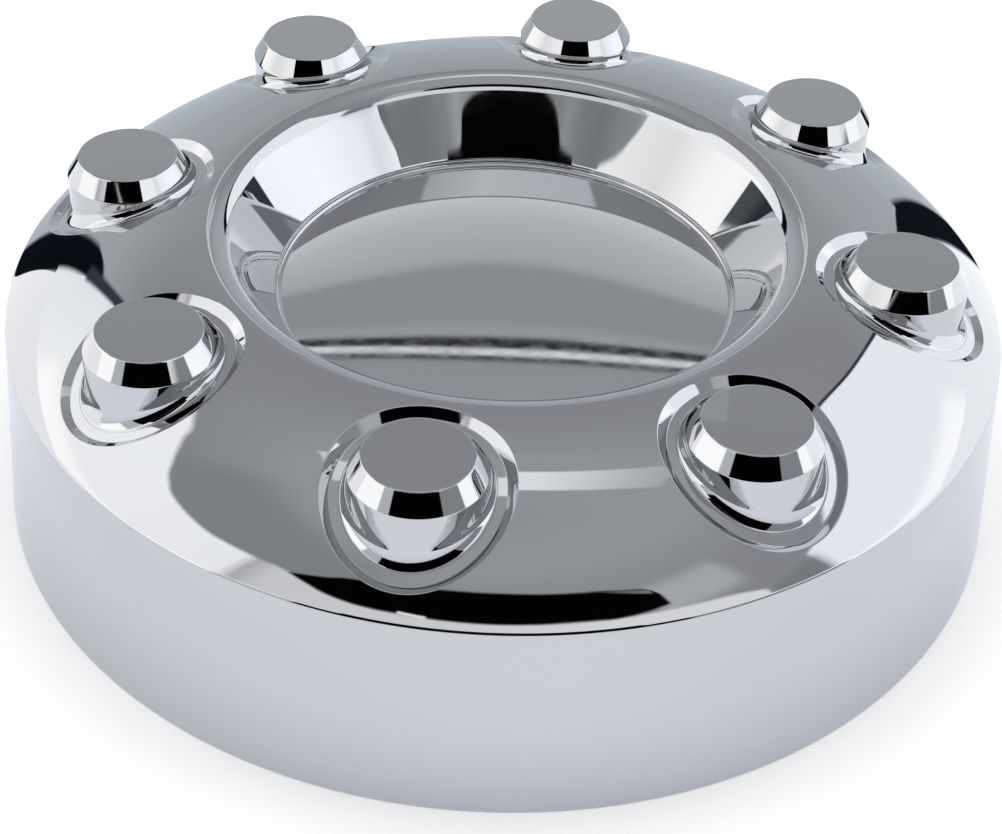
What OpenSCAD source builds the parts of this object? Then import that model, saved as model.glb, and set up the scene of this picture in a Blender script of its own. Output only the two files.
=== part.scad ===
// Axle hub cover: one moulded shell with a domed face, a centre well and eight lug caps.
// The open rim lies on the XY plane, Z is the axis and the domed face looks up.

/* [Skirt] */
// Outer radius of the skirt at its open rim
rim_r = 111; // [110:0.5:114]
// Outer radius of the skirt at the shoulder, before rounding
shoulder_r = 108; // [107:0.5:109]
// Height of the shoulder above the open rim
shoulder_h = 45; // [42:0.5:48]
// Rounding between the skirt and the domed face
shoulder_round = 1.5; // [1:0.1:2.2]

/* [Domed face] */
// Radius of the crest, the highest ring of the face
crest_r = 64.4; // [63:0.2:65]
// Height of the crest above the open rim
crest_h = 63.6; // [62:0.2:65]

/* [Centre well] */
// Rounding of the lip between the face and the cone
lip_round = 6; // [5.6:0.2:7]
// Angle between the cone and the axis
cone_angle = 34.4; // [32:0.2:36]
// Radius of the short upright wall around the well floor
well_r = 50.2; // [49.6:0.1:51]
// Height of that wall, from the floor up to the cone
well_wall_h = 1.5; // [1.5:0.1:2.4]
// Rounding of the neck between the cone and the upright wall
neck_round = 0.8; // [0.4:0.1:1]
// Rounding between the floor and the upright wall
floor_round = 1.1; // [0.5:0.1:1.1]

/* [Lug caps] */
// Number of lug caps
lug_count = 8; // [6:1:8]
// Radius of the circle on which the lug caps stand
lug_circle_r = 85; // [84:0.5:86]
// Turn of the first lug cap from the front, in degrees
lug_turn = -10; // [-22:1:22]
// Radius of a cap's barrel
barrel_r = 13.4; // [13:0.1:13.8]
// Height of the barrel's upper edge above the open rim
barrel_h = 62.7; // [62:0.1:64]
// Radius of a cap's flat top
cap_top_r = 10.8; // [10:0.1:11.5]
// Height of a cap's flat top above the open rim
cap_top_h = 67; // [66:0.1:69]
// Rounding of a cap's two edges
cap_edge_round = 0.4; // [0.2:0.1:0.8]

/* [Lug pockets] */
// Radius of the pocket around a lug cap
pocket_r = 18; // [17:0.1:18.5]
// Depth of the pocket's ledge under the domed face
ledge_depth = 1.6; // [1:0.1:2]
// Radius of the groove around the foot of a cap
groove_r = 14.4; // [14.2:0.1:15]
// Depth of the groove under the domed face
groove_depth = 2.6; // [2.2:0.1:3]

/* [Walls] */
// Wall of the skirt
skirt_wall = 2.4; // [2:0.1:2.6]
// Wall of the domed face and the well
face_wall = 3.6; // [3.3:0.1:3.8]
// Wall of a lug cap
cap_wall = 1.4; // [1.2:0.1:1.8]

/* [Hidden] */

// Sides of a drawn circle
$fn = 96;
// Largest turn between two points of a rounded outline, in degrees
arc_step = 4;
// How far a cut runs past the face that it opens
past = 1;
// Smallest rounding left on the underside
least_round = 0.4;
// Chrome plate
chrome = [0.78, 0.79, 0.81];

// The dome is an arc that is level at the crest and ends at the shoulder
dome_r = (pow(shoulder_r - crest_r, 2) + pow(crest_h - shoulder_h, 2)) / (2 * (crest_h - shoulder_h));
dome_centre = [crest_r, crest_h - dome_r];
skirt_lean = atan((rim_r - shoulder_r) / shoulder_h);
skirt_normal = [cos(skirt_lean), sin(skirt_lean)];
lip_centre = [crest_r, crest_h - lip_round];
cone_normal = [-cos(cone_angle), sin(cone_angle)];
floor_h = cone_height(well_r, 0) - well_wall_h;
bevel_angle = atan((barrel_r - cap_top_r) / (cap_top_h - barrel_h));

// Points of an arc about a centre, from one angle to another
function arc(centre, r, from, to) =
    let (steps = max(1, ceil(abs(to - from) / arc_step)))
    [for (i = [0 : steps])
        let (turn = from + (to - from) * i / steps)
        centre + r * [cos(turn), sin(turn)]];

// Point at one depth under the dome's arc and at another behind the skirt's line
function under_shoulder(depth, skirt_depth) =
    let (
        off = skirt_normal * ([rim_r, 0] - dome_centre) - skirt_depth,
        along = sqrt(pow(dome_r - depth, 2) - pow(off, 2))
    )
    dome_centre + off * skirt_normal + along * [-sin(skirt_lean), cos(skirt_lean)];

// Height, at a radius, of the line that lies at a depth behind the cone
function cone_height(x, depth) =
    (cone_normal * lip_centre + lip_round - depth - cone_normal[0] * x) / cone_normal[1];

// Radius, at a height, of the same line
function cone_radius(z, depth) =
    (cone_normal * lip_centre + lip_round - depth - cone_normal[1] * z) / cone_normal[0];

// Outline from the axis along the base and up to the crest, drawn at one depth inside the
// skin of the dome and at another behind the skin of the skirt
function face_outline(depth, skirt_depth, base) =
    let (
        edge_round = max(shoulder_round - depth, least_round),
        edge = under_shoulder(depth + edge_round, skirt_depth + edge_round),
        dome_start = atan2(edge[1] - dome_centre[1], edge[0] - dome_centre[0])
    )
    concat(
        [[0, base], [rim_r - skirt_depth / cos(skirt_lean) - base * tan(skirt_lean), base]],
        arc(edge, edge_round, skirt_lean, dome_start),
        arc(dome_centre, dome_r - depth, dome_start, 90)
    );

// Outline of the well, from the crest over the lip and down to the middle of its floor
function well_outline() =
    let (neck_x = well_r + neck_round, floor_edge_x = well_r - floor_round)
    concat(
        arc(lip_centre, lip_round, 90, 180 - cone_angle),
        arc([neck_x, cone_height(neck_x, neck_round)], neck_round, 180 - cone_angle, 180),
        arc([floor_edge_x, floor_h + floor_round], floor_round, 0, -90),
        [[0, floor_h]]
    );

// Outline of the well's back, at the wall's thickness behind its lip, cone and floor
function well_back() =
    let (back_h = floor_h - face_wall)
    concat(
        arc(lip_centre, lip_round - face_wall, 90, 180 - cone_angle),
        [[cone_radius(back_h, face_wall), back_h], [0, back_h]]
    );

// Half outline of a lug cap, drawn at a depth inside its own skin
function cap_outline(depth, base) =
    let (
        side = [1, 0],
        bevel = [cos(bevel_angle), sin(bevel_angle)],
        top = [0, 1],
        edge_round = max(cap_edge_round - depth, 0),
        low = [barrel_r, barrel_h] - (depth + edge_round) * (side + bevel) / (1 + side * bevel),
        high = [cap_top_r, cap_top_h] - (depth + edge_round) * (bevel + top) / (1 + bevel * top)
    )
    concat(
        [[0, base], [barrel_r - depth, base]],
        edge_round > 0 ? arc(low, edge_round, 0, bevel_angle) : [low],
        edge_round > 0 ? arc(high, edge_round, bevel_angle, 90) : [high],
        [[0, cap_top_h - depth]]
    );

// The cover's outer form, filled down to its base
module form() {
    rotate_extrude() polygon(concat(face_outline(0, 0, 0), well_outline()));
}

// Everything that lies deeper than this under the dome, with no well
module under_face(depth) {
    rotate_extrude() polygon(concat(face_outline(depth, depth, 0), [[0, crest_h - depth]]));
}

// Hollow of the underside, open at the rim
module hollow() {
    rotate_extrude() polygon(concat(face_outline(face_wall, skirt_wall, -past), well_back()));
}

// Puts its children on the axis of each lug cap
module at_lugs() {
    for (i = [0 : lug_count - 1])
        rotate(lug_turn - 90 + i * 360 / lug_count)
            translate([lug_circle_r, 0, 0])
                children();
}

// Upright round bars on the lug axes, as tall as the face
module lug_bars(r) {
    at_lugs() cylinder(r = r, h = crest_h + past);
}

// Space of the pockets: a ledge that follows the dome, and a groove around each cap's foot
module pocket_space() {
    difference() {
        lug_bars(pocket_r);
        under_face(ledge_depth);
    }
    difference() {
        lug_bars(groove_r);
        under_face(groove_depth);
    }
}

// The lug caps, or their sockets where a depth and a base are given
module caps(depth = 0, base = 0) {
    at_lugs() rotate_extrude() polygon(cap_outline(depth, base));
}

// The whole cover, moulded in one piece
module hub_cover() {
    color(chrome)
        difference() {
            union() {
                difference() {
                    form();
                    pocket_space();
                }
                caps(0, shoulder_h);
            }
            hollow();
            caps(cap_wall, -past);
        }
}

hub_cover();
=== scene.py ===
"""Chrome-plated axle hub cover on a white table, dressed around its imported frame.

The cover is one moulding: a domed face with a centre well, and lug caps in round pockets. The mesh
of one sector with one lug is set round the axis by a Geometry Nodes tree. Chrome has no picture of
its own, so the studio holds the soft boxes, dark cards and table that the plate mirrors.
"""

import logging
import math
from dataclasses import dataclass, field
from enum import Enum

import bmesh
import bpy
import numpy as np
from mathutils import Matrix, Vector

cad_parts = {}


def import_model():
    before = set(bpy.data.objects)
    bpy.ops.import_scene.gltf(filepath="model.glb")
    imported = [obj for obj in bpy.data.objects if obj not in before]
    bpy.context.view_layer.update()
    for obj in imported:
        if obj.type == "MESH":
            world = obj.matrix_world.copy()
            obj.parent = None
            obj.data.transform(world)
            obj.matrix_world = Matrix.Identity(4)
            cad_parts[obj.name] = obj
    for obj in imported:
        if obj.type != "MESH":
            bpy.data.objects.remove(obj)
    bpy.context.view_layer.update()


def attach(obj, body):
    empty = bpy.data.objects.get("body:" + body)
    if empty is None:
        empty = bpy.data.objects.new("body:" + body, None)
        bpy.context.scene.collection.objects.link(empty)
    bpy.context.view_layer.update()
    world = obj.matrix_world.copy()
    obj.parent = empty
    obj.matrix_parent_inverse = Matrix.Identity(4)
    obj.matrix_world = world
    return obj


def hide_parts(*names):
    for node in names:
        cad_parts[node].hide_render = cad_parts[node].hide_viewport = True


LOG = logging.getLogger("hub_cover")
MM = 0.001
INSIDE = "inside"


class Side(Enum):
    """Which side of the moulding a stretch of skin belongs to."""

    FACE = False
    BACK = True


def to_linear(level: float) -> float:
    """Returns the linear value of a display level from 0 to 255."""
    share = level / 255.0
    return share / 12.92 if share <= 0.04045 else ((share + 0.055) / 1.055) ** 2.4


def arc(centre: tuple[float, float], radius: float, start: float, end: float, steps: int) -> np.ndarray:
    """Returns the points of an arc.

    Args:
        centre: Centre of the arc, across and up.
        radius: Radius of the arc.
        start: First angle, in degrees.
        end: Last angle, in degrees.
        steps: Number of chords.

    Returns:
        One row for each point.
    """
    turn = np.radians(np.linspace(start, end, steps + 1))
    return np.column_stack([centre[0] + radius * np.cos(turn), centre[1] + radius * np.sin(turn)])


def rounded_path(
    corners: list[tuple[float, float, float]], step: float = 12.0, hold: float = 0.25
) -> np.ndarray:
    """Returns a path of straight stretches whose corners are rounded.

    Args:
        corners: Across, up and rounding of each corner; the two ends have no rounding.
        step: Largest turn between two points of a rounding, in degrees.
        hold: Distance from a rounding to the extra point that keeps its neighbour flat.

    Returns:
        One row for each point.
    """
    points = [np.array(corners[0][:2])]
    for before, corner, after in zip(corners, corners[1:], corners[2:]):
        here = np.array(corner[:2])
        back = np.array(before[:2]) - here
        on = np.array(after[:2]) - here
        room = (np.linalg.norm(back), np.linalg.norm(on))
        back, on = back / room[0], on / room[1]
        turn = math.pi - math.acos(float(np.clip(back @ on, -1.0, 1.0)))
        reach = corner[2] * math.tan(turn / 2)
        middle = here + (back + on) / np.linalg.norm(back + on) * corner[2] / math.cos(turn / 2)
        if room[0] > reach + 2 * hold:
            points.append(here + back * (reach + hold))
        first, last = here + back * reach - middle, here + on * reach - middle
        chords = max(2, math.ceil(math.degrees(turn) / step))
        for share in np.linspace(0.0, 1.0, chords + 1):
            swing = first * math.sin((1 - share) * turn) + last * math.sin(share * turn)
            points.append(middle + swing / math.sin(turn))
        if room[1] > reach + 2 * hold:
            points.append(here + on * (reach + hold))
    points.append(np.array(corners[-1][:2]))
    return np.array(points)


@dataclass(frozen=True)
class TurnedForm:
    """Sizes of the cover's turned form, in millimetres and degrees.

    The holds place extra rings that keep a straight stretch straight: at the rim in millimetres,
    elsewhere as a share of the stretch. The floor's rings are shares of its radius.
    """

    rim_r: float = 111.0
    rim_round: float = 0.5
    shoulder_r: float = 108.0
    shoulder_h: float = 45.0
    shoulder_round: float = 1.5
    crest_r: float = 64.4
    crest_h: float = 63.6
    lip_round: float = 6.0
    cone_angle: float = 34.4
    well_r: float = 50.2
    well_wall_h: float = 1.5
    neck_round: float = 0.8
    floor_round: float = 1.1
    skirt_wall: float = 2.4
    face_wall: float = 3.6
    back_round: float = 0.4
    rim_hold: float = 0.6
    skirt_hold: float = 0.015
    cone_hold: float = 0.03
    floor_rings: tuple[float, float] = (0.6, 0.2)

    @property
    def dome_r(self) -> float:
        """Radius of the dome's arc."""
        across, fall = self.shoulder_r - self.crest_r, self.crest_h - self.shoulder_h
        return (across**2 + fall**2) / (2 * fall)

    @property
    def dome_centre(self) -> np.ndarray:
        """Centre of the dome's arc, across and up."""
        return np.array([self.crest_r, self.crest_h - self.dome_r])

    @property
    def lip_centre(self) -> tuple[float, float]:
        """Centre of the lip's rounding, across and up."""
        return (self.crest_r, self.crest_h - self.lip_round)

    @property
    def lean(self) -> float:
        """Lean of the skirt, in degrees."""
        return math.degrees(math.atan((self.rim_r - self.shoulder_r) / self.shoulder_h))

    @property
    def skirt_normal(self) -> np.ndarray:
        """Direction in which the skirt faces, across and up."""
        lean = math.radians(self.lean)
        return np.array([math.cos(lean), math.sin(lean)])

    @property
    def steep(self) -> float:
        """Angle at which the lip's rounding meets the cone, in degrees."""
        return 180.0 - self.cone_angle

    @property
    def floor_h(self) -> float:
        """Height of the well floor."""
        return self.cone_height(self.well_r, 0.0) - self.well_wall_h

    def dome_height(self, radius: np.ndarray, depth: float = 0.0) -> np.ndarray:
        """Returns the height, at a distance from the axis, of the surface that lies so deep in the dome."""
        out = np.maximum(radius - self.crest_r, 0.0)
        return self.dome_centre[1] + np.sqrt((self.dome_r - depth) ** 2 - out**2)

    def cone_line(self, depth: float) -> tuple[np.ndarray, float]:
        """Returns the normal and the offset of the line that lies so deep behind the cone."""
        slope = math.radians(self.cone_angle)
        normal = np.array([-math.cos(slope), math.sin(slope)])
        return normal, float(normal @ np.array(self.lip_centre)) + self.lip_round - depth

    def cone_height(self, radius: float, depth: float) -> float:
        """Returns the height of that line at a distance from the axis."""
        normal, offset = self.cone_line(depth)
        return (offset - normal[0] * radius) / normal[1]

    def cone_radius(self, height: float, depth: float) -> float:
        """Returns that line's distance from the axis at a height."""
        normal, offset = self.cone_line(depth)
        return (offset - normal[1] * height) / normal[0]

    def shoulder_edge(self, depth: float, skirt_depth: float, rounding: float) -> tuple[np.ndarray, float]:
        """Finds the rounding between the dome and the skirt.

        Args:
            depth: Depth of the stretch under the dome.
            skirt_depth: Depth of the stretch behind the skirt.
            rounding: Radius of the rounding.

        Returns:
            The rounding's centre, and the angle at which it meets the dome.
        """
        normal = self.skirt_normal
        off = float(normal @ (np.array([self.rim_r, 0.0]) - self.dome_centre)) - skirt_depth - rounding
        along = math.sqrt((self.dome_r - depth - rounding) ** 2 - off**2)
        centre = self.dome_centre + off * normal + along * np.array([-normal[1], normal[0]])
        meet = centre - self.dome_centre
        return centre, math.degrees(math.atan2(meet[1], meet[0]))

    def dome_angle(self, radius: float, depth: float) -> float:
        """Returns the angle on the dome's arc at a distance from the axis, in degrees."""
        return math.degrees(math.acos((radius - self.crest_r) / (self.dome_r - depth)))

    def skirt_path(self, start_r: float) -> np.ndarray:
        """Returns the outline from the dome over the shoulder and down to the rim."""
        edge, meet = self.shoulder_edge(0.0, 0.0, self.shoulder_round)
        foot = self.rim_r - self.skirt_wall / 2
        top = edge + self.shoulder_round * self.skirt_normal
        straight = rounded_path(
            [(top[0], top[1], 0.0), (self.rim_r, 0.0, self.rim_round), (foot, 0.0, 0.0)], hold=self.rim_hold
        )
        hold = top + (straight[1] - top) * self.skirt_hold
        return np.vstack(
            [
                arc(tuple(self.dome_centre), self.dome_r, self.dome_angle(start_r, 0.0), meet, 3),
                arc(tuple(edge), self.shoulder_round, meet, self.lean, 8)[1:],
                hold,
                straight[1:],
            ]
        )

    def inner_skirt_path(self, start_r: float) -> np.ndarray:
        """Returns the outline of the skirt's back, from the dome's back down to the rim."""
        edge, meet = self.shoulder_edge(self.face_wall, self.skirt_wall, self.back_round)
        foot_r = self.rim_r - self.skirt_wall / math.cos(math.radians(self.lean))
        foot = self.rim_r - self.skirt_wall / 2
        top = edge + self.back_round * self.skirt_normal
        straight = rounded_path([(top[0], top[1], 0.0), (foot_r, 0.0, self.back_round), (foot, 0.0, 0.0)])
        dome_back = self.dome_r - self.face_wall
        return np.vstack(
            [
                arc(tuple(self.dome_centre), dome_back, self.dome_angle(start_r, self.face_wall), meet, 2),
                arc(tuple(edge), self.back_round, meet, self.lean, 3)[1:],
                straight[1:],
            ]
        )

    def well_path(self) -> np.ndarray:
        """Returns the outline from the crest over the lip and down to the middle of the floor."""
        lip = arc(self.lip_centre, self.lip_round, 90.0, self.steep, 14)
        down = rounded_path(
            [
                (lip[-1][0], lip[-1][1], 0.0),
                (self.well_r, self.cone_height(self.well_r, 0.0), self.neck_round),
                (self.well_r, self.floor_h, self.floor_round),
                (0.0, self.floor_h, 0.0),
            ],
            step=9.0,
            hold=0.2,
        )
        hold = lip[-1] + (down[1] - lip[-1]) * self.cone_hold
        middle = np.array([[self.well_r * share, self.floor_h] for share in self.floor_rings])
        return np.vstack([lip, hold, down[1:-1], middle, down[-1:]])

    def well_back_path(self) -> np.ndarray:
        """Returns the outline of the well's back, from the crest's back to the middle."""
        lip = arc(self.lip_centre, self.lip_round - self.face_wall, 90.0, self.steep, 5)
        back_h = self.floor_h - self.face_wall
        down = rounded_path(
            [
                (lip[-1][0], lip[-1][1], 0.0),
                (self.cone_radius(back_h, self.face_wall), back_h, self.back_round),
                (0.0, back_h, 0.0),
            ]
        )
        return np.vstack([lip, down[1:]])


@dataclass(frozen=True)
class LugCap:
    """Sizes of one lug cap, its pocket and its socket, in millimetres and degrees."""

    circle_r: float = 85.0
    barrel_r: float = 13.4
    barrel_h: float = 62.7
    top_r: float = 10.8
    top_h: float = 67.0
    edge_round: float = 0.4
    collar: float = 1.6
    wall: float = 1.4
    seam_r: float = 19.6
    rim_r: float = 18.7
    rim_round: float = 0.35
    ledge_r: float = 16.8
    ledge_depth: float = 1.72
    ledge_round: float = 0.4
    groove_r: float = 14.95
    groove_round: float = 0.12
    foot_round: float = 3.4
    foot_rise: float = 0.985
    foot_turn: float = 55.0

    def pocket_path(self) -> np.ndarray:
        """Returns the pocket's outline as distance from the lug's axis and level under the dome."""
        middle = (self.barrel_r + self.foot_round, self.foot_rise)
        foot = arc(middle, self.foot_round, 180.0 + self.foot_turn, 180.0, 8)
        ledge = rounded_path(
            [
                (self.seam_r, 0.0, 0.0),
                (self.rim_r, 0.0, self.rim_round),
                (self.ledge_r, -self.ledge_depth, self.ledge_round),
                (self.groove_r, -self.ledge_depth, self.groove_round),
                (foot[0][0], foot[0][1], 0.0),
            ],
            step=10.0,
            hold=0.15,
        )
        return np.vstack([ledge, foot[1:]])

    def cap_path(self) -> np.ndarray:
        """Returns the cap's outline above its foot as distance from the lug's axis and height."""
        return rounded_path(
            [
                (self.barrel_r, self.barrel_h - self.collar, 0.0),
                (self.barrel_r, self.barrel_h, self.edge_round),
                (self.top_r, self.top_h, self.edge_round),
                (0.0, self.top_h, 0.0),
            ],
            step=11.0,
            hold=0.2,
        )

    def socket_path(self) -> np.ndarray:
        """Returns the socket's outline inside the cap as distance from the lug's axis and height."""
        slope = math.atan((self.barrel_r - self.top_r) / (self.top_h - self.barrel_h))
        across, up = math.cos(slope), math.sin(slope)
        low_h = self.barrel_h - self.wall * up / (1 + across)
        high_r = self.top_r - self.wall * across / (1 + up)
        return np.array(
            [
                (self.socket_r, low_h),
                (high_r, self.top_h - self.wall),
                (0.0, self.top_h - self.wall),
            ]
        )

    @property
    def socket_r(self) -> float:
        """Radius of the socket."""
        return self.barrel_r - self.wall


class Skin:
    """Collects grids of points and welds them into one mesh."""

    WELD = 1e-5

    def __init__(self) -> None:
        """Starts with no points."""
        self.points: list[np.ndarray] = []
        self.faces: list[np.ndarray] = []
        self.sides: list[np.ndarray] = []
        self.count = 0

    def add(self, grid: np.ndarray, side: Side) -> None:
        """Adds the quads between the points of a grid.

        Args:
            grid: Rows and columns of points, in millimetres.
            side: The side of the moulding.
        """
        rows, columns = grid.shape[:2]
        index = np.arange(rows * columns).reshape(rows, columns) + self.count
        quads = np.stack([index[:-1, :-1], index[:-1, 1:], index[1:, 1:], index[1:, :-1]], axis=-1)
        quads = quads.reshape(-1, 4)
        self.points.append(grid.reshape(-1, 3))
        self.faces.append(quads)
        self.sides.append(np.full(len(quads), side.value))
        self.count += rows * columns

    def mesh(self, name: str) -> bpy.types.Mesh:
        """Welds what was added.

        Args:
            name: Name of the mesh.

        Returns:
            The mesh, in metres, with the side of each face as an attribute.
        """
        points = np.vstack(self.points)
        key = np.round(points / self.WELD).astype(np.int64)
        _, first, weld = np.unique(key, axis=0, return_index=True, return_inverse=True)
        weld = weld.reshape(-1)
        faces, sides = [], []
        for quad, side in zip(weld[np.vstack(self.faces)].tolist(), np.concatenate(self.sides).tolist()):
            corners = list(dict.fromkeys(quad))
            if len(corners) > 2:
                faces.append(corners)
                sides.append(side)
        mesh = bpy.data.meshes.new(name)
        mesh.from_pydata((points[first] * MM).tolist(), [], faces)
        mark = mesh.attributes.new(INSIDE, "BOOLEAN", "FACE")
        mark.data.foreach_set("value", sides)
        mesh.update()
        return mesh


@dataclass(frozen=True)
class SectorSkin:
    """Lays out the skin of one sector, with its lug on the X axis."""

    form: TurnedForm
    lug: LugCap
    lug_count: int = 8
    outer_r: float = 106.0
    back_outer_r: float = 101.0
    outer_steps: int = 52
    side_steps: int = 22
    inner_steps: int = 32
    dome_rings: int = 12
    back_rings: int = 3
    barrel_rings: tuple[float, ...] = (0.12, 0.5, 1.0)

    @property
    def half(self) -> float:
        """Half the sector's turn, in radians."""
        return math.pi / self.lug_count

    def corner_turn(self, radius: float) -> float:
        """Returns the angle about the lug at which the sector's corner lies."""
        across = radius * math.cos(self.half) - self.lug.circle_r
        return math.atan2(radius * math.sin(self.half), across)

    def lug_turns(self) -> np.ndarray:
        """Returns the angles about the lug at which the skin has its columns."""
        out, into = self.corner_turn(self.outer_r), self.corner_turn(self.form.crest_r)
        spans = (
            (-out, out, self.outer_steps),
            (out, into, self.side_steps),
            (into, 2 * math.pi - into, self.inner_steps),
            (2 * math.pi - into, 2 * math.pi - out, self.side_steps),
        )
        turns = [np.linspace(a, b, steps + 1)[:-1] for a, b, steps in spans]
        return np.concatenate([*turns, [2 * math.pi - out]])

    def border(self) -> tuple[np.ndarray, np.ndarray, np.ndarray]:
        """Finds where the columns leave the sector.

        Returns:
            Angles about the axis on the outer edge and on the inner edge, and the shares of the way
            inwards along a side.
        """
        turns = self.lug_turns()
        n_out, n_side, n_in = self.outer_steps, self.side_steps, self.inner_steps
        centre = self.lug.circle_r
        outward = turns[: n_out + 1]
        dot = centre * np.cos(outward)
        reach = -dot + np.sqrt(dot**2 - centre**2 + self.outer_r**2)
        outer = np.arctan2(reach * np.sin(outward), centre + reach * np.cos(outward))
        inward = turns[n_out + n_side : n_out + n_side + n_in + 1]
        dot = centre * np.cos(inward)
        root = np.sqrt(np.maximum(dot**2 - centre**2 + self.form.crest_r**2, 0.0))
        reach = -dot - root
        inner = np.arctan2(reach * np.sin(inward), centre + reach * np.cos(inward))
        sideways = turns[n_out : n_out + n_side + 1]
        reach = centre * math.sin(self.half) / np.sin(sideways - self.half)
        side_r = np.hypot(reach * np.sin(sideways), centre + reach * np.cos(sideways))
        shares = (self.outer_r - side_r) / (self.outer_r - self.form.crest_r)
        outer[[0, -1]] = (-self.half, self.half)
        inner[[0, -1]] = (self.half, -self.half)
        shares[[0, -1]] = (0.0, 1.0)
        return outer, inner, shares

    def patch(self, hole_r: float, depth: float, outer_r: float, rings: int) -> np.ndarray:
        """Lays the dome between the pocket and the sector's border.

        Args:
            hole_r: Radius of the round hole about the lug's axis.
            depth: Depth under the dome.
            outer_r: Radius of the sector's outer edge.
            rings: Number of rings of faces.

        Returns:
            A grid of points from the hole outwards.
        """
        outer, inner, shares = self.border()
        crest_r = self.form.crest_r
        side_r = outer_r + (crest_r - outer_r) * shares
        radii = np.concatenate(
            [np.full(len(outer), outer_r), side_r[1:], np.full(len(inner) - 1, crest_r), side_r[::-1][1:]]
        )
        angles = np.concatenate(
            [
                outer,
                np.full(len(shares) - 1, self.half),
                inner[1:],
                np.full(len(shares) - 1, -self.half),
            ]
        )
        border = np.column_stack([radii * np.cos(angles), radii * np.sin(angles)])
        turns = self.lug_turns()
        hole = np.column_stack([self.lug.circle_r + hole_r * np.cos(turns), hole_r * np.sin(turns)])
        share = np.linspace(0.0, 1.0, rings + 1)[:, None, None]
        flat = hole[None] * (1 - share) + border[None] * share
        height = self.form.dome_height(np.hypot(flat[..., 0], flat[..., 1]), depth)
        return np.concatenate([flat, height[..., None]], axis=-1)

    def turned(self, path: np.ndarray, angles: np.ndarray) -> np.ndarray:
        """Turns an outline about the cover's axis through the given angles."""
        radius, height = path[:, :1], np.broadcast_to(path[:, 1:], (len(path), len(angles)))
        return np.stack([radius * np.cos(angles), radius * np.sin(angles), height], axis=-1)

    def around_lug(self, path: np.ndarray, on_dome: bool) -> np.ndarray:
        """Turns an outline about the lug's axis.

        Args:
            path: Distance from the lug's axis, and level.
            on_dome: Whether the level counts from the dome above each point.

        Returns:
            A grid of points.
        """
        turns = self.lug_turns()
        x = self.lug.circle_r + path[:, :1] * np.cos(turns)
        y = path[:, :1] * np.sin(turns)
        level = np.broadcast_to(path[:, 1:], x.shape)
        base = self.form.dome_height(np.hypot(x, y)) if on_dome else 0.0
        return np.stack([x, y, level + base], axis=-1)

    def mesh(self) -> bpy.types.Mesh:
        """Returns the sector's mesh, with its face and its back."""
        form, lug, skin = self.form, self.lug, Skin()
        outer, inner, _ = self.border()
        skin.add(self.patch(lug.seam_r, 0.0, self.outer_r, self.dome_rings), Side.FACE)
        pocket = self.around_lug(lug.pocket_path(), on_dome=True)
        cap = self.around_lug(lug.cap_path(), on_dome=False)
        share = np.array(self.barrel_rings)[:, None, None]
        barrel = pocket[-1][None] * (1 - share) + cap[0][None] * share
        skin.add(np.concatenate([pocket, barrel, cap[1:]]), Side.FACE)
        skin.add(self.turned(form.skirt_path(self.outer_r), outer), Side.FACE)
        skin.add(self.turned(form.well_path(), inner), Side.FACE)
        back = self.patch(lug.socket_r, form.face_wall, self.back_outer_r, self.back_rings)
        skin.add(back, Side.BACK)
        socket = self.around_lug(lug.socket_path(), on_dome=False)
        skin.add(np.concatenate([back[:1], socket]), Side.BACK)
        skin.add(self.turned(form.inner_skirt_path(self.back_outer_r), outer), Side.BACK)
        skin.add(self.turned(form.well_back_path(), inner), Side.BACK)
        return skin.mesh("one_lug_sector")


class NodeBench:
    """Small helper that adds and joins the nodes of one tree."""

    def __init__(self, tree: bpy.types.NodeTree) -> None:
        """Keeps the tree and clears it."""
        self.tree = tree
        tree.nodes.clear()

    def add(self, kind: str, settings: dict | None = None, **inputs: object) -> bpy.types.Node:
        """Adds a node.

        Args:
            kind: The node's type.
            settings: The node's own properties.
            **inputs: A value or a socket for each input, with _ for a space in its name.

        Returns:
            The node.
        """
        node = self.tree.nodes.new(kind)
        for name, value in (settings or {}).items():
            setattr(node, name, value)
        for name, value in inputs.items():
            self.put(node.inputs[name.replace("_", " ")], value)
        return node

    def put(self, socket: bpy.types.NodeSocket, value: object) -> None:
        """Joins a socket to an input, or sets its value."""
        if isinstance(value, bpy.types.NodeSocket):
            self.tree.links.new(value, socket)
        else:
            socket.default_value = value

    def maths(self, operation: str, *values: object) -> bpy.types.NodeSocket:
        """Adds a Math node and returns its result."""
        node = self.add("ShaderNodeMath", {"operation": operation})
        for socket, value in zip(node.inputs, values):
            self.put(socket, value)
        return node.outputs[0]

    def ramp(self, factor: bpy.types.NodeSocket, stops: list[tuple[float, tuple]]) -> bpy.types.NodeSocket:
        """Adds a colour ramp and returns its colour.

        Args:
            factor: What the ramp reads.
            stops: Place and linear colour of each stop, in order.

        Returns:
            The ramp's colour.
        """
        node = self.add("ShaderNodeValToRGB", Fac=factor)
        elements = node.color_ramp.elements
        while len(elements) < len(stops):
            elements.new(1.0)
        for element, (place, colour) in zip(elements, stops):
            element.position = place
            element.color = (*colour, 1.0)
        return node.outputs["Color"]

    def mix(self, factor: object, first: object, second: object) -> bpy.types.NodeSocket:
        """Adds a colour Mix node and returns its colour."""
        node = self.tree.nodes.new("ShaderNodeMix")
        node.data_type = "RGBA"
        colour_inputs = [s for s in node.inputs if s.type == "RGBA"]
        self.put(node.inputs[0], factor)
        self.put(colour_inputs[0], first)
        self.put(colour_inputs[1], second)
        return next(s for s in node.outputs if s.type == "RGBA")


def new_material(name: str) -> tuple[bpy.types.Material, NodeBench]:
    """Makes an empty material, and the bench for its nodes."""
    made = bpy.data.materials.new(name)
    made.use_nodes = True
    return made, NodeBench(made.node_tree)


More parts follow.
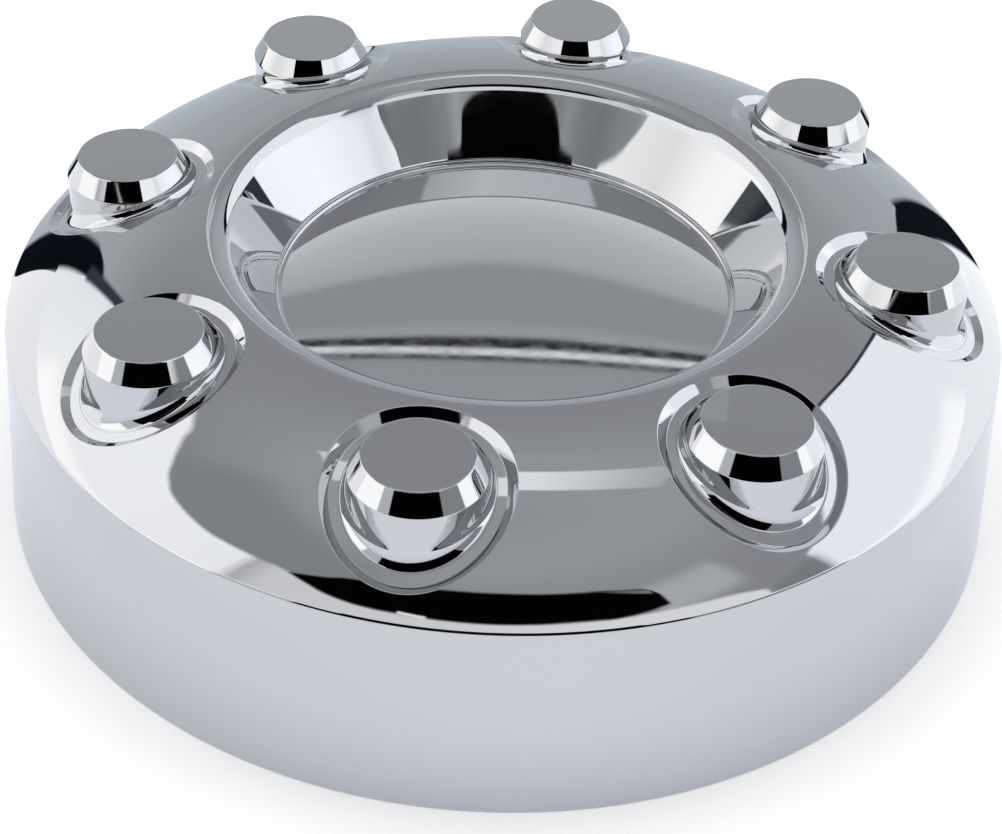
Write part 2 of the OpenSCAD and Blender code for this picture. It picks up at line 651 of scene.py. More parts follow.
def show_front(bench: NodeBench, shader: bpy.types.Node) -> None:
    """Makes a shader the material's surface, seen from the front and clear from behind."""
    clear = bench.add("ShaderNodeBsdfTransparent")
    behind = bench.add("ShaderNodeNewGeometry").outputs["Backfacing"]
    surface = bench.add("ShaderNodeMixShader", Fac=behind)
    bench.put(surface.inputs[1], shader.outputs[0])
    bench.put(surface.inputs[2], clear.outputs[0])
    bench.add("ShaderNodeOutputMaterial", Surface=surface.outputs[0])


def in_scene(name: str, data: bpy.types.ID) -> bpy.types.Object:
    """Makes an object of some data and links it to the scene."""
    made = bpy.data.objects.new(name, data)
    bpy.context.scene.collection.objects.link(made)
    return made


CLOUD_SIZE = 14.0
HAZE_SPAN = (0.35, 0.7)


def plating_group() -> bpy.types.NodeTree:
    """Builds the node group that gives plated plastic its tint, haze and ripple.

    Returns:
        A group with a tint mask, a roughness and a height that vary over the surface.
    """
    tree = bpy.data.node_groups.new("Plated skin", "ShaderNodeTree")
    face = tree.interface
    defaults = {"Ripple size": 40.0, "Haze size": 300.0, "Least haze": 0.02, "Most haze": 0.05}
    for name, value in defaults.items():
        face.new_socket(name, in_out="INPUT", socket_type="NodeSocketFloat").default_value = value
    for name in ("Tint", "Roughness", "Height"):
        face.new_socket(name, in_out="OUTPUT", socket_type="NodeSocketFloat")
    bench = NodeBench(tree)
    given = bench.add("NodeGroupInput").outputs
    place = bench.add("ShaderNodeTexCoord").outputs["Object"]
    ripple = bench.add("ShaderNodeTexNoise", Vector=place, Scale=given["Ripple size"], Detail=1.0)
    haze = bench.add("ShaderNodeTexNoise", Vector=place, Scale=given["Haze size"], Detail=4.0, Roughness=0.6)
    cloud = bench.add("ShaderNodeTexNoise", Vector=place, Scale=CLOUD_SIZE, Detail=2.0)
    spread = bench.add(
        "ShaderNodeMapRange", Value=haze.outputs[0], From_Min=HAZE_SPAN[0], From_Max=HAZE_SPAN[1],
        To_Min=given["Least haze"], To_Max=given["Most haze"],
    )
    bench.add(
        "NodeGroupOutput", Tint=cloud.outputs[0], Roughness=spread.outputs[0], Height=ripple.outputs[0]
    )
    return tree


@dataclass(frozen=True)
class PlateFinish:
    """A plated finish: its two tints, haze and ripple."""

    name: str
    light: tuple[float, float, float]
    shade: tuple[float, float, float]
    least_haze: float
    most_haze: float
    ripple_size: float
    ripple_height: float

    def material(self, group: bpy.types.NodeTree) -> bpy.types.Material:
        """Builds the finish as a material.

        Args:
            group: The shared group of plated skins.

        Returns:
            The material.
        """
        made, bench = new_material(self.name)
        skin = bench.add(
            "ShaderNodeGroup", {"node_tree": group},
            Ripple_size=self.ripple_size, Least_haze=self.least_haze, Most_haze=self.most_haze,
        )
        tint = bench.mix(skin.outputs["Tint"], (*self.shade, 1.0), (*self.light, 1.0))
        bump = bench.add(
            "ShaderNodeBump", Strength=1.0, Distance=self.ripple_height, Height=skin.outputs["Height"]
        )
        shader = bench.add(
            "ShaderNodeBsdfPrincipled", Metallic=1.0, Base_Color=tint,
            Roughness=skin.outputs["Roughness"], Normal=bump.outputs["Normal"],
        )
        bench.add("ShaderNodeOutputMaterial", Surface=shader.outputs[0])
        return made


BRIGHT_CHROME = PlateFinish(
    "bright_chrome", (0.598, 0.604, 0.618), (0.572, 0.578, 0.592), 0.012, 0.03, 38.0, 0.000006
)
SATIN_BACK = PlateFinish(
    "satin_plated_back", (0.50, 0.505, 0.52), (0.42, 0.425, 0.44), 0.26, 0.42, 260.0, 0.00002
)


def sector_tree() -> tuple[bpy.types.NodeTree, dict[str, str]]:
    """Builds the tree that sets a sector round the axis.

    Returns:
        The tree, and the identifier of each of its inputs by name.
    """
    tree = bpy.data.node_groups.new("Sectors round the axis", "GeometryNodeTree")
    tree.is_modifier = True
    face = tree.interface
    kinds = {
        "Sector": "NodeSocketGeometry",
        "Lug count": "NodeSocketInt",
        "First lug angle": "NodeSocketFloat",
        "Weld distance": "NodeSocketFloat",
        "Face finish": "NodeSocketMaterial",
        "Back finish": "NodeSocketMaterial",
    }
    names = {n: face.new_socket(n, in_out="INPUT", socket_type=k).identifier for n, k in kinds.items()}
    face.new_socket("Cover", in_out="OUTPUT", socket_type="NodeSocketGeometry")
    bench = NodeBench(tree)
    given = bench.add("NodeGroupInput").outputs
    points = bench.add("GeometryNodePoints", Count=given["Lug count"])
    index = bench.add("GeometryNodeInputIndex").outputs[0]
    pitch = bench.maths("DIVIDE", math.tau, given["Lug count"])
    turn = bench.maths("MULTIPLY_ADD", index, pitch, given["First lug angle"])
    euler = bench.add("ShaderNodeCombineXYZ", Z=turn).outputs[0]
    rotation = bench.add("FunctionNodeEulerToRotation", Euler=euler).outputs[0]
    placed = bench.add(
        "GeometryNodeInstanceOnPoints", Points=points.outputs[0], Instance=given["Sector"], Rotation=rotation
    )
    real = bench.add("GeometryNodeRealizeInstances", Geometry=placed.outputs[0])
    welded = bench.add(
        "GeometryNodeMergeByDistance", Geometry=real.outputs[0], Distance=given["Weld distance"]
    )
    smooth = bench.add("GeometryNodeSetShadeSmooth", Geometry=welded.outputs[0])
    plated = bench.add("GeometryNodeSetMaterial", Geometry=smooth.outputs[0], Material=given["Face finish"])
    inside = bench.add("GeometryNodeInputNamedAttribute", {"data_type": "BOOLEAN"}, Name=INSIDE)
    mark = next(s for s in inside.outputs if s.enabled and s.name == "Attribute")
    backed = bench.add("GeometryNodeSetMaterial", Geometry=plated.outputs[0], Material=given["Back finish"])
    bench.put(backed.inputs["Selection"], mark)
    bench.add("NodeGroupOutput", Cover=backed.outputs[0])
    return tree, names


@dataclass
class HubCover:
    """The cover: one moulding with its lug caps."""

    form: TurnedForm = field(default_factory=TurnedForm)
    lug: LugCap = field(default_factory=LugCap)
    lug_count: int = 8
    first_lug_deg: float = -100.0
    weld_m: float = 0.000004
    speck_m: float = 1e-9
    near_dome: float = 2e-4

    def build(self) -> bpy.types.Object:
        """Builds and dresses the cover.

        Returns:
            The piece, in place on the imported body.
        """
        group = plating_group()
        sector = SectorSkin(self.form, self.lug, self.lug_count).mesh()
        piece = in_scene("chrome_cover", sector)
        tree, names = sector_tree()
        modifier = piece.modifiers.new("Sectors", "NODES")
        modifier.node_group = tree
        modifier[names["Lug count"]] = self.lug_count
        modifier[names["First lug angle"]] = math.radians(self.first_lug_deg)
        modifier[names["Weld distance"]] = self.weld_m
        modifier[names["Face finish"]] = BRIGHT_CHROME.material(group)
        modifier[names["Back finish"]] = SATIN_BACK.material(group)
        piece.update_tag()
        graph = bpy.context.evaluated_depsgraph_get()
        whole = bpy.data.meshes.new_from_object(
            piece.evaluated_get(graph), preserve_all_data_layers=True, depsgraph=graph
        )
        piece.modifiers.remove(modifier)
        piece.data = whole
        whole.name = "chrome_cover"
        self.close(whole)
        self.true_dome(whole)
        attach(piece, "root")
        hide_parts("hub_cover")
        return piece

    def close(self, mesh: bpy.types.Mesh) -> None:
        """Turns every face outwards and reports how well the skin closes."""
        work = bmesh.new()
        work.from_mesh(mesh)
        bmesh.ops.dissolve_degenerate(work, dist=self.speck_m, edges=work.edges)
        bmesh.ops.recalc_face_normals(work, faces=work.faces)
        open_edges = sum(1 for edge in work.edges if not edge.is_manifold)
        triangles = sum(len(face.verts) - 2 for face in work.faces)
        volume = work.calc_volume(signed=True) / MM**3
        work.to_mesh(mesh)
        work.free()
        LOG.info("skin: %d triangles, %d open edges, %.0f mm3", triangles, open_edges, volume)

    def true_dome(self, mesh: bpy.types.Mesh) -> None:
        """Gives the points on the dome the exact normals of its arc, so that it mirrors true."""
        count = len(mesh.vertices)
        places = np.empty(count * 3)
        mesh.vertices.foreach_get("co", places)
        places = places.reshape(-1, 3) / MM
        normals = np.empty(count * 3)
        mesh.vertex_normals.foreach_get("vector", normals)
        normals = normals.reshape(-1, 3)
        radius = np.hypot(places[:, 0], places[:, 1])
        across, up = radius - self.form.crest_r, places[:, 2] - self.form.dome_centre[1]
        on_dome = abs(np.hypot(across, up) - self.form.dome_r) < self.near_dome
        on_dome &= (across > -self.near_dome) & (up > 0)
        sideways = across[on_dome] / self.form.dome_r / radius[on_dome]
        x, y = places[on_dome, 0], places[on_dome, 1]
        normals[on_dome] = np.column_stack([sideways * x, sideways * y, up[on_dome] / self.form.dome_r])
        mesh.normals_split_custom_set_from_vertices(normals.tolist())


@dataclass(frozen=True)
class PhotoCamera:
    """The photograph's camera: its place, aim and lens."""

    distance_m: float = 0.5131
    elevation_deg: float = 39.623
    yaw_deg: float = 0.033
    pitch_deg: float = 38.829
    roll_deg: float = 2.255
    focal_px: float = 2202.9
    image_width_px: int = 1002
    sensor_mm: float = 36.0

    def build(self) -> bpy.types.Object:
        """Makes the camera and gives it to the scene."""
        yaw, pitch, roll = (math.radians(a) for a in (self.yaw_deg, self.pitch_deg, self.roll_deg))
        height = math.radians(self.elevation_deg)
        aim = Vector((math.sin(yaw) * math.cos(pitch), math.cos(yaw) * math.cos(pitch), -math.sin(pitch)))
        right = aim.cross(Vector((0, 0, 1))).normalized()
        upward = right.cross(aim)
        across = right * math.cos(roll) + upward * math.sin(roll)
        up = upward * math.cos(roll) - right * math.sin(roll)
        data = bpy.data.cameras.new("photo_camera")
        data.sensor_width = self.sensor_mm
        data.lens = self.focal_px * self.sensor_mm / self.image_width_px
        data.clip_start, data.clip_end = 0.01, 100.0
        camera = in_scene("photo_camera", data)
        turned = Matrix((across, up, -aim)).transposed().to_4x4()
        place = Vector((0, -self.distance_m * math.cos(height), self.distance_m * math.sin(height)))
        camera.matrix_world = Matrix.Translation(place) @ turned
        bpy.context.scene.camera = camera
        return camera


Curve = tuple[tuple[float, float], ...]
Level = tuple[float, float, float]


@dataclass(frozen=True)
class Panel:
    """A soft box, card or strip that the chrome mirrors, by its place in two measures.

    Across is an azimuth: 0 lies beyond the table from the photographer, and 90 to the right. Up is
    an elevation, or a height on a card. The level is what the panel shows as in the chrome, from 0
    to 255 on the display. Curves and levels are given at places across, and one entry stands for
    the whole width.
    """

    name: str
    start: float
    end: float
    low: Curve
    high: Curve
    edge: float
    levels: tuple[tuple[float, Level], ...]

    @property
    def width(self) -> float:
        """Width of the panel."""
        return self.end - self.start

    def share(self, place: float) -> float:
        """Returns the share of the way across at which a place lies."""
        return (place - self.start) / self.width


def flat(value: float) -> Curve:
    """Returns a curve that keeps one value."""
    return ((0.0, value),)


def plain(red: float, green: float, blue: float) -> tuple[tuple[float, Level], ...]:
    """Returns one level for a whole panel."""
    return ((0.0, (red, green, blue)),)


PLATE_MIRRORS = (0.585, 0.591, 0.605)
EVERYWHERE = flat(-90.0)
BLACK = plain(3, 3, 4)


def lit(level: Level) -> Level:
    """Returns the light that a panel gives so that the chrome shows it at this display level."""
    return tuple(to_linear(value) / share for value, share in zip(level, PLATE_MIRRORS))


SKY = (
    (0.0, (158, 164, 172)),
    (10.0, (155, 160, 167)),
    (20.0, (153, 157, 163)),
    (26.0, (151, 154, 158)),
    (30.6, (144, 147, 151)),
    (34.8, (134, 137, 141)),
    (39.0, (128, 130, 135)),
    (50.0, (130, 132, 137)),
    (60.0, (136, 139, 143)),
    (66.0, (142, 145, 149)),
    (78.0, (141, 144, 148)),
    (90.0, (138, 141, 145)),
)
WELL_GLOW = (
    (33.0, (190, 194, 198)),
    (33.6, (172, 176, 180)),
    (34.7, (157, 160, 164)),
    (34.95, (134, 138, 143)),
    (36.25, (133, 137, 141)),
    (36.6, (148, 151, 155)),
    (36.72, (146, 149, 153)),
    (36.82, (40, 42, 46)),
    (37.02, (34, 36, 40)),
    (37.08, (206, 209, 213)),
    (37.2, (200, 203, 207)),
    (37.25, (62, 64, 68)),
    (37.33, (70, 72, 76)),
    (37.42, (136, 139, 144)),
    (38.5, (141, 144, 149)),
)
CEILING_STRIP = (
    Panel(
        "ceiling strip", -32, 32, flat(17.5), flat(32.5), 1.0,
        ((-32, (196, 199, 204)), (6, (214, 218, 222)), (24, (172, 176, 181)), (32, (158, 161, 166))),
    ),
)
PANELS = (
    Panel("left shade", -145, -80, flat(40), flat(62), 7.0, plain(122, 125, 129)),
    Panel("front right glow", 118, 140, flat(42), flat(53), 3.0, plain(160, 163, 167)),
    Panel(
        "right dark edge", 24, 52, EVERYWHERE,
        (
            (24, -6), (26, 3), (27.5, 10), (30, 18), (33, 27), (36.6, 35), (40.6, 41.5), (45.6, 47.9),
            (52, 49),
        ),
        0.6,
        (
            (24, (70, 74, 80)), (26, (14, 17, 24)), (33, (14, 17, 24)), (37, (46, 49, 54)),
            (52, (46, 49, 54)),
        ),
    ),
    Panel(
        "left sweep", -190, -40, EVERYWHERE,
        (
            (-190, 47), (-170, 47), (-150, 45.8), (-142, 45.4), (-128, 46.6), (-120, 45.2), (-112, 43.2),
            (-105, 41.6), (-95, 41.0), (-89, 42.2), (-80, 46), (-70, 49.3), (-62, 51), (-57, 51), (-52, 47.5),
            (-46, 39), (-40, 29),
        ),
        0.8,
        (
            (-190, (199, 200, 204)), (-150, (198, 199, 203)), (-126, (194, 195, 200)),
            (-120.5, (166, 167, 170)), (-117.5, (227, 229, 232)), (-90, (231, 233, 236)),
            (-55, (231, 233, 236)), (-40, (220, 223, 228)),
        ),
    ),
    Panel(
        "right sweep", 30.5, 104.3, EVERYWHERE,
        (
            (30.5, 3), (34.5, 20), (38, 35), (42, 41.5), (47, 47.6), (53, 50.5), (60, 51), (70, 49), (80, 46),
            (90, 42), (97, 39), (104.3, 37),
        ),
        0.7, plain(226, 229, 236),
    ),
    Panel("right shade", 103.5, 117.5, flat(8), flat(36), 2.2, plain(116, 119, 124)),
    Panel(
        "front right sweep", 117.5, 192, EVERYWHERE,
        ((117.5, 36), (125, 40), (135, 42.7), (145, 44.6), (155, 45.8), (165, 46.6), (192, 47)),
        0.8, ((117.5, (210, 211, 215)), (150, (207, 208, 212)), (192, (199, 200, 204))),
    ),
    Panel(
        "black card", 136.5, 232.5,
        (
            (136.5, 45.2), (145, 45), (155, 46), (165, 46.8), (180, 47), (200, 46.6), (210, 45.7),
            (218, 45.3), (225, 45.8), (232.5, 46.6),
        ),
        (
            (136.5, 49.8), (139, 53), (145, 55), (150, 56.2), (165, 58), (180, 58.8), (195, 58.2),
            (210, 55.6), (218, 54), (225, 50.5), (232.5, 46.5),
        ),
        0.6, BLACK,
    ),
    Panel(
        "black card's fold", 138, 152,
        ((138, 50.6), (145, 53.8), (152, 56.6)), ((138, 52), (145, 55), (152, 56.7)),
        0.4, ((138, (112, 115, 119)), (152, (34, 35, 38))),
    ),
    Panel("peep of light", 196, 203, flat(46.5), flat(47.3), 0.5, plain(234, 236, 237)),
    Panel("low left white", -123, -58, EVERYWHERE, flat(20), 3.0, plain(247, 248, 249)),
    Panel("low right white", 58, 106, EVERYWHERE, flat(20), 3.0, plain(245, 247, 250)),
    Panel("left slit", -141, -123, EVERYWHERE, flat(22), 1.2, plain(168, 171, 176)),
    Panel("right slit", 106, 141, EVERYWHERE, flat(22), 1.2, plain(122, 125, 130)),
    Panel("low front card", 140, 220, EVERYWHERE, flat(28.7), 1.0, BLACK),
    Panel(
        "left stripe", -41, -35.2, EVERYWHERE, ((-41, 20), (-39.5, 26), (-37.5, 25), (-35.2, 20)), 0.7,
        plain(10, 14, 20),
    ),
    Panel("left stripe's end", -41.4, -38.6, flat(21), flat(34), 0.7, plain(50, 54, 60)),
)
LOW_WALL = (
    Panel("left wall white", -125, -62.3, EVERYWHERE, flat(90), 0.7, plain(224, 226, 230)),
    Panel("right wall white", 53.5, 125, EVERYWHERE, flat(90), 0.7, plain(226, 229, 234)),
    Panel("left wall stripe", -62.4, -57.2, EVERYWHERE, flat(90), 0.8, plain(10, 14, 20)),
    Panel(
        "left wall stripe's foot", -65.4, -60, ((-65.4, 74), (-62.3, 20), (-60, 20)), flat(90), 0.8,
        plain(10, 14, 20),
    ),
    Panel("right wall stripe", 46.0, 53.4, EVERYWHERE, flat(90), 0.8, plain(14, 17, 24)),
    Panel("far gleam", -14, -5, EVERYWHERE, flat(24), 3.0, plain(240, 242, 244)),
)
WELL_BAND = (
    Panel(
        "well light", 57, 294, flat(-9), flat(1.0), 0.3,
        (
            (57, (236, 241, 246)), (66, (239, 244, 250)), (84, (242, 247, 252)), (96, (236, 241, 247)),
            (108, (229, 233, 242)), (114, (213, 218, 228)), (119, (222, 227, 235)), (123, (234, 237, 241)),
            (224, (232, 233, 234)), (236, (226, 228, 229)), (246, (222, 223, 225)), (257, (218, 219, 221)),
            (266, (232, 234, 234)), (276, (243, 244, 244)), (288, (247, 248, 247)), (294, (240, 242, 243)),
        ),
    ),
    Panel(
        "well grey", 119.5, 241,
        (
            (119.5, 0.55), (121, 0.1), (123, -0.4), (124.5, -1.2), (150, -1.2), (222, -1.2), (226, -0.75),
            (230, -0.55), (234, -0.3), (237, 0.1), (239.5, 0.5), (241, 0.9),
        ),
        flat(1.0), 0.15,
        (
            (119.5, (95, 99, 104)), (124, (113, 116, 120)), (136, (111, 114, 119)), (144, (118, 122, 127)),
            (149.5, (124, 128, 133)), (154, (147, 150, 155)), (158, (135, 138, 142)), (202, (122, 125, 128)),
            (206, (134, 137, 142)), (213, (118, 121, 126)), (222, (110, 113, 118)), (232, (124, 129, 133)),
            (238, (130, 134, 138)), (241, (150, 153, 156)),
        ),
    ),
    Panel(
        "photographer", 148, 212, flat(-9),
        (
            (148, -0.72), (154.5, -0.6), (155.6, -0.3), (157, 0.35), (160, 0.62), (166, 0.85), (173, 1.1),
            (187, 1.1), (195, 0.8), (199, 0.55), (201.5, 0.25), (203.5, -0.15), (206, -0.55), (212, -0.72),
        ),
        0.12, BLACK,
    ),
    Panel("left stripe in the well", 40, 57, flat(-1.2), flat(0.95), 0.3, plain(45, 49, 56)),
    Panel(
        "right stripe in the well", 294, 316, flat(-1.2), flat(0.95), 0.3,
        ((294, (70, 73, 78)), (301, (66, 69, 74)), (306, (42, 45, 50)), (316, (36, 40, 46))),
    ),
)


class Painter:
    """Paints panels over a colour, in the nodes of the world or of a card."""

    def __init__(self) -> None:
        """Builds the group that masks one panel."""
        tree = bpy.data.node_groups.new("Panel mask", "ShaderNodeTree")
        for name in ("Across", "Up", "Half width", "Low", "High", "Edge"):
            tree.interface.new_socket(name, in_out="INPUT", socket_type="NodeSocketFloat")
        tree.interface.new_socket("Mask", in_out="OUTPUT", socket_type="NodeSocketFloat")
        bench = NodeBench(tree)
        given = bench.add("NodeGroupInput").outputs
        aside = bench.maths("ABSOLUTE", given["Across"])
        gaps = (
            bench.maths("SUBTRACT", given["Half width"], aside),
            bench.maths("SUBTRACT", given["Up"], given["Low"]),
            bench.maths("SUBTRACT", given["High"], given["Up"]),
        )
        mask = None
        for gap in gaps:
            ease = bench.add(
                "ShaderNodeMapRange", {"interpolation_type": "SMOOTHSTEP"}, Value=gap,
                From_Min=bench.maths("MULTIPLY", given["Edge"], -1.0), From_Max=given["Edge"],
            )
            mask = ease.outputs[0] if mask is None else bench.maths("MULTIPLY", mask, ease.outputs[0])
        bench.add("NodeGroupOutput", Mask=mask)
        self.tree = tree

    def paint(
        self,
        bench: NodeBench,
        across: bpy.types.NodeSocket,
        up: bpy.types.NodeSocket,
        colour: object,
        panels: tuple[Panel, ...],
    ) -> bpy.types.NodeSocket:
        """Paints panels over a colour, the last on top.

        Args:
            bench: The nodes to add to.
            across: Azimuth in degrees.
            up: Elevation in degrees, or height in millimetres.
            colour: The colour below.
            panels: The panels, from the lowest.

        Returns:
            The painted colour.
        """
        for panel in panels:
            share = self.share(bench, across, panel)
            colour = bench.mix(self.mask(bench, across, up, panel), colour, self.shown(bench, share, panel))
        return colour

    def aside(self, bench: NodeBench, across: bpy.types.NodeSocket, panel: Panel) -> bpy.types.NodeSocket:
        """Returns how far across a place lies from the middle of a panel."""
        middle = (panel.start + panel.end) / 2
        return bench.maths("WRAP", bench.maths("SUBTRACT", across, middle), 180.0, -180.0)

    def share(self, bench: NodeBench, across: bpy.types.NodeSocket, panel: Panel) -> bpy.types.NodeSocket:
        """Returns the share of the way across a panel, from 0 to 1."""
        return bench.maths("MULTIPLY_ADD", self.aside(bench, across, panel), 1 / panel.width, 0.5)

    def mask(
        self, bench: NodeBench, across: bpy.types.NodeSocket, up: bpy.types.NodeSocket, panel: Panel
    ) -> bpy.types.NodeSocket:
        """Masks one panel.

        Args:
            bench: The nodes to add to.
            across: Azimuth in degrees.
            up: Elevation in degrees, or height in millimetres.
            panel: The panel.

        Returns:
            The mask.
        """
        share = self.share(bench, across, panel)
        node = bench.add(
            "ShaderNodeGroup", {"node_tree": self.tree, "label": panel.name},
            Across=self.aside(bench, across, panel), Half_width=panel.width / 2,
            Up=up, Low=self.curve(bench, share, panel, panel.low),
            High=self.curve(bench, share, panel, panel.high), Edge=panel.edge,
        )
        return node.outputs[0]

    def curve(self, bench: NodeBench, share: bpy.types.NodeSocket, panel: Panel, line: Curve) -> object:
        """Returns a border's level at each place across a panel.

        Args:
            bench: The nodes to add to.
            share: Share of the way across the panel.
            panel: The panel.
            line: The border.

        Returns:
            The level, or a number where the border is level.
        """
        if len(line) == 1:
            return line[0][1]
        low, high = min(up for _, up in line), max(up for _, up in line)
        node = bench.add("ShaderNodeFloatCurve", Value=share)
        points = node.mapping.curves[0].points
        while len(points) < len(line):
            points.new(0.5, 0.5)
        for point, (place, up) in zip(points, line):
            point.location = (panel.share(place), (up - low) / (high - low))
            point.handle_type = "AUTO_CLAMPED"
        node.mapping.update()
        return bench.maths("MULTIPLY_ADD", node.outputs[0], high - low, low)

    def shown(self, bench: NodeBench, share: bpy.types.NodeSocket, panel: Panel) -> object:
        """Returns the light of a panel at each place across it."""
        if len(panel.levels) == 1:
            return (*lit(panel.levels[0][1]), 1.0)
        return bench.ramp(share, [(panel.share(place), lit(level)) for place, level in panel.levels])


@dataclass(frozen=True)
class RoundCard:
    """An upright round card that only mirrors see, and only from its hollow side.

    Sizes are in millimetres and degrees.
    """

    name: str
    radius: float
    start: float
    end: float
    foot: float
    top: float
    base: Level
    panels: tuple[Panel, ...]
    step: float = 2.0

    def build(self, painter: Painter) -> bpy.types.Object:
        """Builds the card.

        Args:
            painter: What paints its panels.

        Returns:
            The card.
        """
        count = round((self.end - self.start) / self.step)
        turns = np.radians(np.linspace(self.start, self.end, count + 1))
        x, y = self.radius * np.sin(turns), self.radius * np.cos(turns)
        feet, heads = (np.column_stack([x, y, np.full(count + 1, z)]) for z in (self.foot, self.top))
        quads = [(i, i + 1, i + count + 2, i + count + 1) for i in range(count)]
        mesh = bpy.data.meshes.new(self.name)
        mesh.from_pydata((np.vstack([feet, heads]) * MM).tolist(), [], quads)
        mesh.materials.append(self.paint(painter))
        card = in_scene(self.name, mesh)
        card.visible_camera = False
        card.visible_diffuse = False
        card.visible_shadow = False
        return card

    def paint(self, painter: Painter) -> bpy.types.Material:
        """Returns the card's material."""
        made, bench = new_material(self.name)
        place = bench.add("ShaderNodeTexCoord").outputs["Object"]
        parts = bench.add("ShaderNodeSeparateXYZ", Vector=place).outputs
        azimuth = bench.maths("DEGREES", bench.maths("ARCTAN2", parts["X"], parts["Y"]))
        height = bench.maths("DIVIDE", parts["Z"], MM)
        colour = painter.paint(bench, azimuth, height, (*lit(self.base), 1.0), self.panels)
        show_front(bench, bench.add("ShaderNodeEmission", Color=colour, Strength=1.0))
        return made


CARDS = (RoundCard("low_wall", 200.0, -110.0, 110.0, 0.2, 76.0, (157, 164, 172), LOW_WALL),)


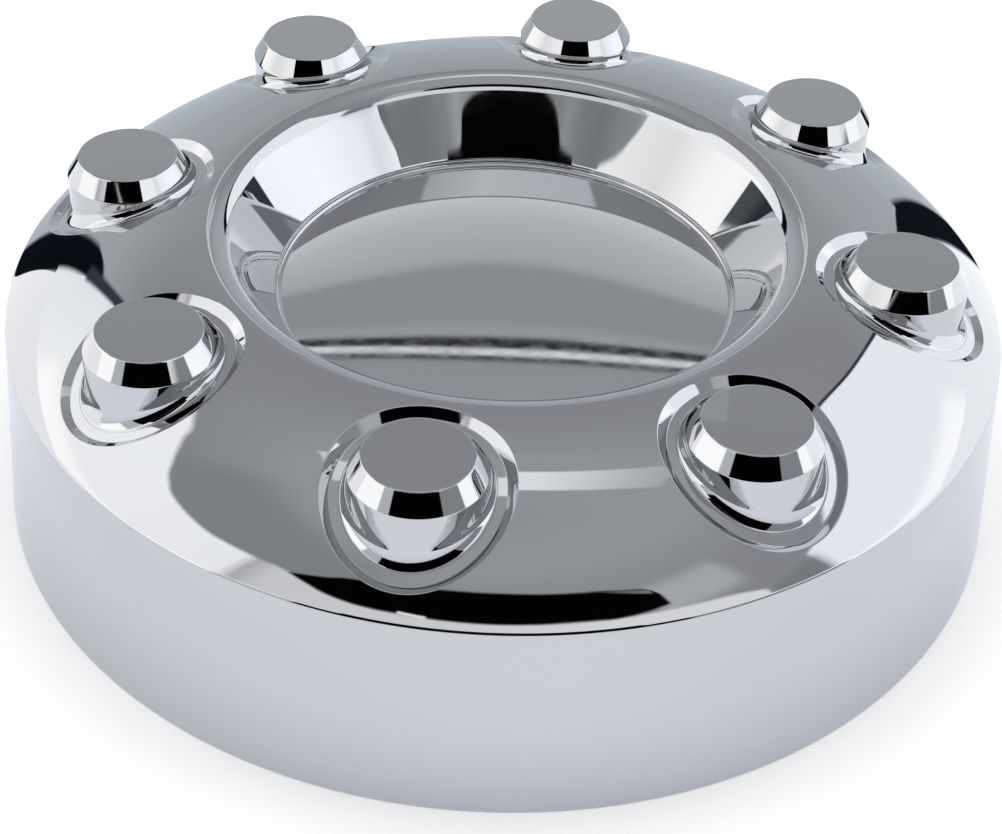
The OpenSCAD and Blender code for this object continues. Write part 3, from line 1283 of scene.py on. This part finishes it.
@dataclass(frozen=True)
class Studio:
    """The white table, its lamp and the surroundings that the chrome mirrors.

    The table's sizes and the lamp's are in metres, and the surroundings' are in degrees.
    """

    table_r: float = 4.0
    table_white: float = 0.8
    grain: float = 0.01
    grain_size: float = 3.0
    table_glow: tuple = (0.24, 0.24, 0.24, 1.0)
    # Painted reflection: the table's glow as glossy rays see it far from the cover and near it, dimmer and
    # bluer than table_glow.
    painted_reflection_far: tuple = (0.075, 0.085, 0.13, 1.0)
    painted_reflection_near: tuple = (0.145, 0.155, 0.20, 1.0)
    near_r: float = 0.15
    far_r: float = 0.4
    lamp_height: float = 1.6
    lamp_size: float = 1.8
    lamp_watts: float = 16.0
    sky_low: float = 0.0
    sky_high: float = 90.0
    ceiling: float = 100.0
    band_peak: float = 37.65
    band_fall: float = 0.00197
    well_low: float = 33.0
    well_high: float = 38.5
    well_half_azimuth: float = 7.5
    well_edge: float = 0.05
    well_bend: float = 0.03
    bend_end: float = 37.0
    bend_run: float = 2.2

    def surroundings(self, painter: Painter) -> None:
        """Builds the world: a grey sky with the studio's panels in it.

        Args:
            painter: What paints the panels.
        """
        world = bpy.data.worlds.new("studio")
        bpy.context.scene.world = world
        world.use_nodes = True
        bench = NodeBench(world.node_tree)
        way = bench.add("ShaderNodeTexCoord").outputs["Generated"]
        parts = bench.add("ShaderNodeSeparateXYZ", Vector=way).outputs
        azimuth = bench.maths("DEGREES", bench.maths("ARCTAN2", parts["X"], parts["Y"]))
        elevation = bench.maths("DEGREES", bench.maths("ARCSINE", parts["Z"]))
        colour = self.by_elevation(bench, elevation, SKY, self.sky_low, self.sky_high)
        rise = bench.maths("MAXIMUM", parts["Z"], MM)
        across, up = (
            bench.maths("MULTIPLY", bench.maths("DIVIDE", parts[axis], rise), self.ceiling)
            for axis in ("X", "Y")
        )
        colour = painter.paint(bench, across, up, colour, CEILING_STRIP)
        colour = painter.paint(bench, azimuth, elevation, colour, PANELS)
        from_front = bench.maths("SUBTRACT", 180.0, bench.maths("ABSOLUTE", azimuth))
        fall = bench.maths("MULTIPLY", bench.maths("POWER", from_front, 2.0), self.band_fall)
        over_band = bench.maths("SUBTRACT", bench.maths("ADD", elevation, fall), self.band_peak)
        colour = painter.paint(bench, azimuth, over_band, colour, WELL_BAND)
        fade = bench.add(
            "ShaderNodeMapRange", Value=elevation,
            From_Min=self.bend_end, From_Max=self.bend_end - self.bend_run,
        )
        aside = bench.maths("MULTIPLY", bench.maths("POWER", azimuth, 2.0), -self.well_bend)
        bent = bench.maths("MULTIPLY_ADD", aside, fade.outputs[0], elevation)
        glow = self.by_elevation(bench, bent, WELL_GLOW, self.well_low, self.well_high)
        half = self.well_half_azimuth
        low, high = flat(self.well_low), flat(self.well_high)
        window = Panel("well window", -half, half, low, high, self.well_edge, BLACK)
        colour = bench.mix(painter.mask(bench, azimuth, elevation, window), colour, glow)
        light = bench.add("ShaderNodeBackground", Color=colour, Strength=1.0)
        bench.add("ShaderNodeOutputWorld", Surface=light.outputs[0])

    def by_elevation(
        self, bench: NodeBench, elevation: bpy.types.NodeSocket, stops: tuple, low: float, high: float
    ) -> bpy.types.NodeSocket:
        """Colours by elevation.

        Args:
            bench: The world's nodes.
            elevation: Elevation in degrees.
            stops: Elevation and display level of each stop.
            low: Elevation at the ramp's start.
            high: Elevation at the ramp's end.

        Returns:
            The colour.
        """
        share = bench.add("ShaderNodeMapRange", Value=elevation, From_Min=low, From_Max=high)
        placed = [((place - low) / (high - low), lit(level)) for place, level in stops]
        return bench.ramp(share.outputs[0], placed)

    def table(self) -> bpy.types.Object:
        """Builds the white table. Glossy rays see a painted reflection on it: a glow dimmer and bluer than
        the camera's, stronger near the cover than far off.
        """
        mesh = bpy.data.meshes.new("white_table")
        work = bmesh.new()
        bmesh.ops.create_circle(work, cap_ends=True, segments=96, radius=self.table_r)
        work.to_mesh(mesh)
        work.free()
        table = in_scene("white_table", mesh)
        made, bench = new_material("white_table")
        place = bench.add("ShaderNodeTexCoord").outputs["Object"]
        grain = bench.add("ShaderNodeTexNoise", Vector=place, Scale=self.grain_size, Detail=2.0)
        whites = [(white, white, white, 1.0) for white in (self.table_white, self.table_white + self.grain)]
        colour = bench.mix(grain.outputs[0], *whites)
        matt = bench.add("ShaderNodeBsdfDiffuse", Color=colour)
        path = bench.add("ShaderNodeLightPath").outputs
        seen = bench.maths("ADD", path["Is Camera Ray"], path["Is Glossy Ray"])
        seen = bench.maths("MINIMUM", bench.maths("ADD", seen, path["Is Transmission Ray"]), 1.0)
        reach = bench.add("ShaderNodeVectorMath", {"operation": "LENGTH"}, Vector=place)
        far = bench.add(
            "ShaderNodeMapRange", Value=reach.outputs["Value"], From_Min=self.near_r, From_Max=self.far_r
        )
        # Painted reflection and shade: glossy rays see the glow fade from the near colour to the far one
        # between near_r and far_r.
        painted_reflection = bench.mix(far.outputs[0], self.painted_reflection_near, self.painted_reflection_far)
        shade = bench.mix(path["Is Glossy Ray"], self.table_glow, painted_reflection)
        glow = bench.add("ShaderNodeEmission", Color=shade, Strength=seen)
        both = bench.add("ShaderNodeAddShader")
        bench.put(both.inputs[0], matt.outputs[0])
        bench.put(both.inputs[1], glow.outputs[0])
        show_front(bench, both)
        mesh.materials.append(made)
        return table

    def lamp(self) -> bpy.types.Object:
        """Hangs the soft lamp that lights the table, out of the chrome's sight."""
        data = bpy.data.lights.new("table_lamp", "AREA")
        data.shape = "DISK"
        data.size = self.lamp_size
        data.energy = self.lamp_watts
        lamp = in_scene("table_lamp", data)
        lamp.location = (0.0, 0.0, self.lamp_height)
        lamp.visible_glossy = False
        lamp.visible_camera = False
        return lamp

    def build(self) -> None:
        """Builds the table, the lamp, the cards and the surroundings."""
        painter = Painter()
        self.surroundings(painter)
        for card in CARDS:
            card.build(painter)
        self.table()
        self.lamp()
        bpy.context.scene.view_settings.view_transform = "Standard"


def main() -> None:
    """Builds the camera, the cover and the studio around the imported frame."""
    logging.basicConfig(level=logging.INFO, format="%(name)s: %(message)s")
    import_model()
    PhotoCamera().build()
    cover = HubCover().build()
    LOG.info("piece %s: %d faces", cover.name, len(cover.data.polygons))
    Studio().build()
    LOG.info("studio: %d panels and %d card", len(PANELS) + len(WELL_BAND), len(CARDS))


if __name__ == "__main__":
    main()
